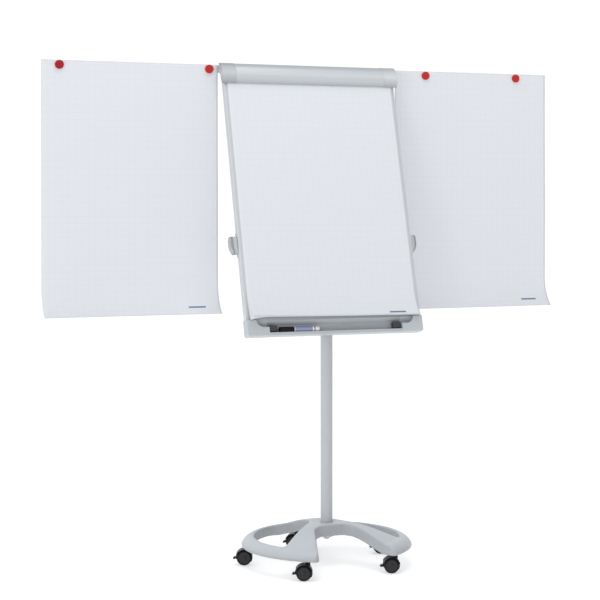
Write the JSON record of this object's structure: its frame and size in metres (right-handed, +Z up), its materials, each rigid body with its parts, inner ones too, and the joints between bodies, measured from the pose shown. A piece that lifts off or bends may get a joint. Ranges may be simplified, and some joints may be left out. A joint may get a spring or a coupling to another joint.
{
  "type": "flipchart easel",
  "caption": "Mobile flipchart easel with a ring base on casters, a leaning height-adjustable board, a clamp bar and pad, a pen tray and swing-out side arms holding sheets.",
  "frame": {"origin": "middle of the whole object's footprint on the floor, under the casters", "axes": "+X to the reader's right along the board and arms, -Y towards the reader, +Z up"},
  "size_m": [2.101, 0.6122, 1.882],
  "materials": {
    "grey_paint": "satin, slightly textured",
    "zinc_steel": "satin",
    "dark_plastic": "matte",
    "black_plastic": "satin",
    "wheel_plastic": "satin",
    "grey_steel": "satin",
    "liner_plastic": "matte",
    "silver_aluminium": "fine matte anodised",
    "grey_plastic": "satin",
    "white_enamel": "gloss",
    "paper": "matte",
    "red_magnet": "gloss",
    "marker_white": "satin",
    "marker_black": "satin"
  },
  "bodies": {
    "base": {"base_casting": "grey_paint", "hub_plate": "zinc_steel", "hub_bolts": "zinc_steel", "column_tube": "grey_paint", "column_cap": "dark_plastic"},
    "board": {"lower_guide_block": "grey_steel", "upper_guide_block": "grey_steel", "guide_liners": "liner_plastic", "spine_plate": "grey_steel", "spine_screws": "zinc_steel", "cross_rails": "grey_steel", "shaft_bearings": "grey_steel", "whiteboard_panel": "white_enamel", "side_profile_left": "silver_aluminium", "side_profile_right": "silver_aluminium", "top_profile": "silver_aluminium", "bottom_profile": "silver_aluminium", "pen_tray": "silver_aluminium", "tray_corner_left": "grey_plastic", "tray_corner_right": "grey_plastic", "tray_stops": "dark_plastic", "top_corner_left": "grey_plastic", "top_corner_right": "grey_plastic", "hinge_rod": "zinc_steel", "pad_pins": "zinc_steel", "paper_pad": "paper", "arm_bracket_left": "grey_steel", "arm_bracket_right": "grey_steel", "arm_pins": "zinc_steel"},
    "release": {"release_shaft": "zinc_steel", "release_handle_left": "dark_plastic", "release_handle_right": "dark_plastic"},
    "clamp": {"clamp_cover": "silver_aluminium", "clamp_cap_left": "grey_plastic", "clamp_cap_right": "grey_plastic"},
    "arm_left": {"side_arm_left": "grey_steel", "sheet_left": "paper"},
    "arm_right": {"side_arm_right": "grey_steel", "sheet_right": "paper"},
    "marker": {"marker_body": "marker_white"},
    "marker_cap": {"marker_cap": "marker_black"},
    "magnet_left_outer": {"magnet_left_outer": "red_magnet"},
    "magnet_left_inner": {"magnet_left_inner": "red_magnet"},
    "magnet_right_inner": {"magnet_right_inner": "red_magnet"},
    "magnet_right_outer": {"magnet_right_outer": "red_magnet"},
    "caster_1": {"caster_1_housing": "black_plastic"},
    "caster_1_wheels": {"caster_1_wheels": "wheel_plastic"},
    "caster_1_brake": {"caster_1_brake": "black_plastic"},
    "caster_2": {"caster_2_housing": "black_plastic"},
    "caster_2_wheels": {"caster_2_wheels": "wheel_plastic"},
    "caster_2_brake": {"caster_2_brake": "black_plastic"},
    "caster_3": {"caster_3_housing": "black_plastic"},
    "caster_3_wheels": {"caster_3_wheels": "wheel_plastic"},
    "caster_3_brake": {"caster_3_brake": "black_plastic"},
    "caster_4": {"caster_4_housing": "black_plastic"},
    "caster_4_wheels": {"caster_4_wheels": "wheel_plastic"},
    "caster_4_brake": {"caster_4_brake": "black_plastic"},
    "caster_5": {"caster_5_housing": "black_plastic"},
    "caster_5_wheels": {"caster_5_wheels": "wheel_plastic"},
    "caster_5_brake": {"caster_5_brake": "black_plastic"}
  },
  "joints": [
    {"name": "board_height", "type": "slide", "parent": "base", "child": "board", "axis": [0, 0.2622, 0.965], "range_m": [-0.18, 0.16]},
    {"name": "release_turn", "type": "hinge", "parent": "board", "child": "release", "pos_m": [-0.0135, 0.00175, 1.19193], "axis": [1, 0, 0], "range_deg": [0, 25], "stiffness_Nm_per_rad": 2, "springref_deg": -5.73},
    {"name": "clamp_open", "type": "hinge", "parent": "board", "child": "clamp", "pos_m": [-0.0135, 0.16239, 1.8747], "axis": [-1, 0, 0], "range_deg": [0, 75]},
    {"name": "arm_left_swing", "type": "hinge", "parent": "board", "child": "arm_left", "pos_m": [-0.3475, 0.19236, 1.86], "axis": [0, 0, 1], "range_deg": [-170, 0]},
    {"name": "arm_right_swing", "type": "hinge", "parent": "board", "child": "arm_right", "pos_m": [0.3205, 0.19236, 1.86], "axis": [0, 0, 1], "range_deg": [0, 170]},
    {"name": "marker_lift", "type": "slide", "parent": "board", "child": "marker_cap", "axis": [0, -0.7459, 0.6661], "range_m": [0, 0.1]},
    {"name": "marker_uncap", "type": "slide", "parent": "marker_cap", "child": "marker", "axis": [1, 0, 0], "range_m": [0, 0.045]},
    {"name": "magnet_left_outer_pull", "type": "slide", "parent": "arm_left", "child": "magnet_left_outer", "axis": [0, -1, 0], "range_m": [0, 0.04]},
    {"name": "magnet_left_inner_pull", "type": "slide", "parent": "arm_left", "child": "magnet_left_inner", "axis": [0, -1, 0], "range_m": [0, 0.04]},
    {"name": "magnet_right_inner_pull", "type": "slide", "parent": "arm_right", "child": "magnet_right_inner", "axis": [0, -1, 0], "range_m": [0, 0.04]},
    {"name": "magnet_right_outer_pull", "type": "slide", "parent": "arm_right", "child": "magnet_right_outer", "axis": [0, -1, 0], "range_m": [0, 0.04]},
    {"name": "caster_1_swivel", "type": "hinge", "parent": "base", "child": "caster_1", "pos_m": [-0.0135, 0.26436, 0.068], "axis": [0, 0, 1], "continuous": true},
    {"name": "caster_1_roll", "type": "hinge", "parent": "caster_1", "child": "caster_1_wheels", "pos_m": [-0.02649, 0.27186, 0.028], "axis": [-0.5, -0.866, 0], "continuous": true},
    {"name": "caster_1_brake_press", "type": "hinge", "parent": "caster_1", "child": "caster_1_brake", "pos_m": [-0.04294, 0.28136, 0.031], "axis": [0.5, 0.866, 0], "range_deg": [0, 18]},
    {"name": "caster_2_swivel", "type": "hinge", "parent": "base", "child": "caster_2", "pos_m": [-0.29311, 0.06121, 0.068], "axis": [0, 0, 1], "continuous": true},
    {"name": "caster_2_roll", "type": "hinge", "parent": "caster_2", "child": "caster_2_wheels", "pos_m": [-0.30702, 0.06683, 0.028], "axis": [-0.3746, -0.9272, 0], "continuous": true},
    {"name": "caster_2_brake_press", "type": "hinge", "parent": "caster_2", "child": "caster_2_brake", "pos_m": [-0.32464, 0.07395, 0.031], "axis": [0.3746, 0.9272, 0], "range_deg": [0, 18]},
    {"name": "caster_3_swivel", "type": "hinge", "parent": "base", "child": "caster_3", "pos_m": [-0.18631, -0.26749, 0.068], "axis": [0, 0, 1], "continuous": true},
    {"name": "caster_3_roll", "type": "hinge", "parent": "caster_3", "child": "caster_3_wheels", "pos_m": [-0.20022, -0.26187, 0.028], "axis": [-0.3746, -0.9272, 0], "continuous": true},
    {"name": "caster_3_brake_press", "type": "hinge", "parent": "caster_3", "child": "caster_3_brake", "pos_m": [-0.21783, -0.25475, 0.031], "axis": [0.3746, 0.9272, 0], "range_deg": [0, 18]},
    {"name": "caster_4_swivel", "type": "hinge", "parent": "base", "child": "caster_4", "pos_m": [0.15931, -0.26749, 0.068], "axis": [0, 0, 1], "continuous": true},
    {"name": "caster_4_roll", "type": "hinge", "parent": "caster_4", "child": "caster_4_wheels", "pos_m": [0.14513, -0.2626, 0.028], "axis": [-0.3256, -0.9455, 0], "continuous": true},
    {"name": "caster_4_brake_press", "type": "hinge", "parent": "caster_4", "child": "caster_4_brake", "pos_m": [0.12716, -0.25642, 0.031], "axis": [0.3256, 0.9455, 0], "range_deg": [0, 18]},
    {"name": "caster_5_swivel", "type": "hinge", "parent": "base", "child": "caster_5", "pos_m": [0.26611, 0.06121, 0.068], "axis": [0, 0, 1], "continuous": true},
    {"name": "caster_5_roll", "type": "hinge", "parent": "caster_5", "child": "caster_5_wheels", "pos_m": [0.25156, 0.06484, 0.028], "axis": [-0.2419, -0.9703, 0], "continuous": true},
    {"name": "caster_5_brake_press", "type": "hinge", "parent": "caster_5", "child": "caster_5_brake", "pos_m": [0.23312, 0.06944, 0.031], "axis": [0.2419, 0.9703, 0], "range_deg": [0, 18]}
  ]
}
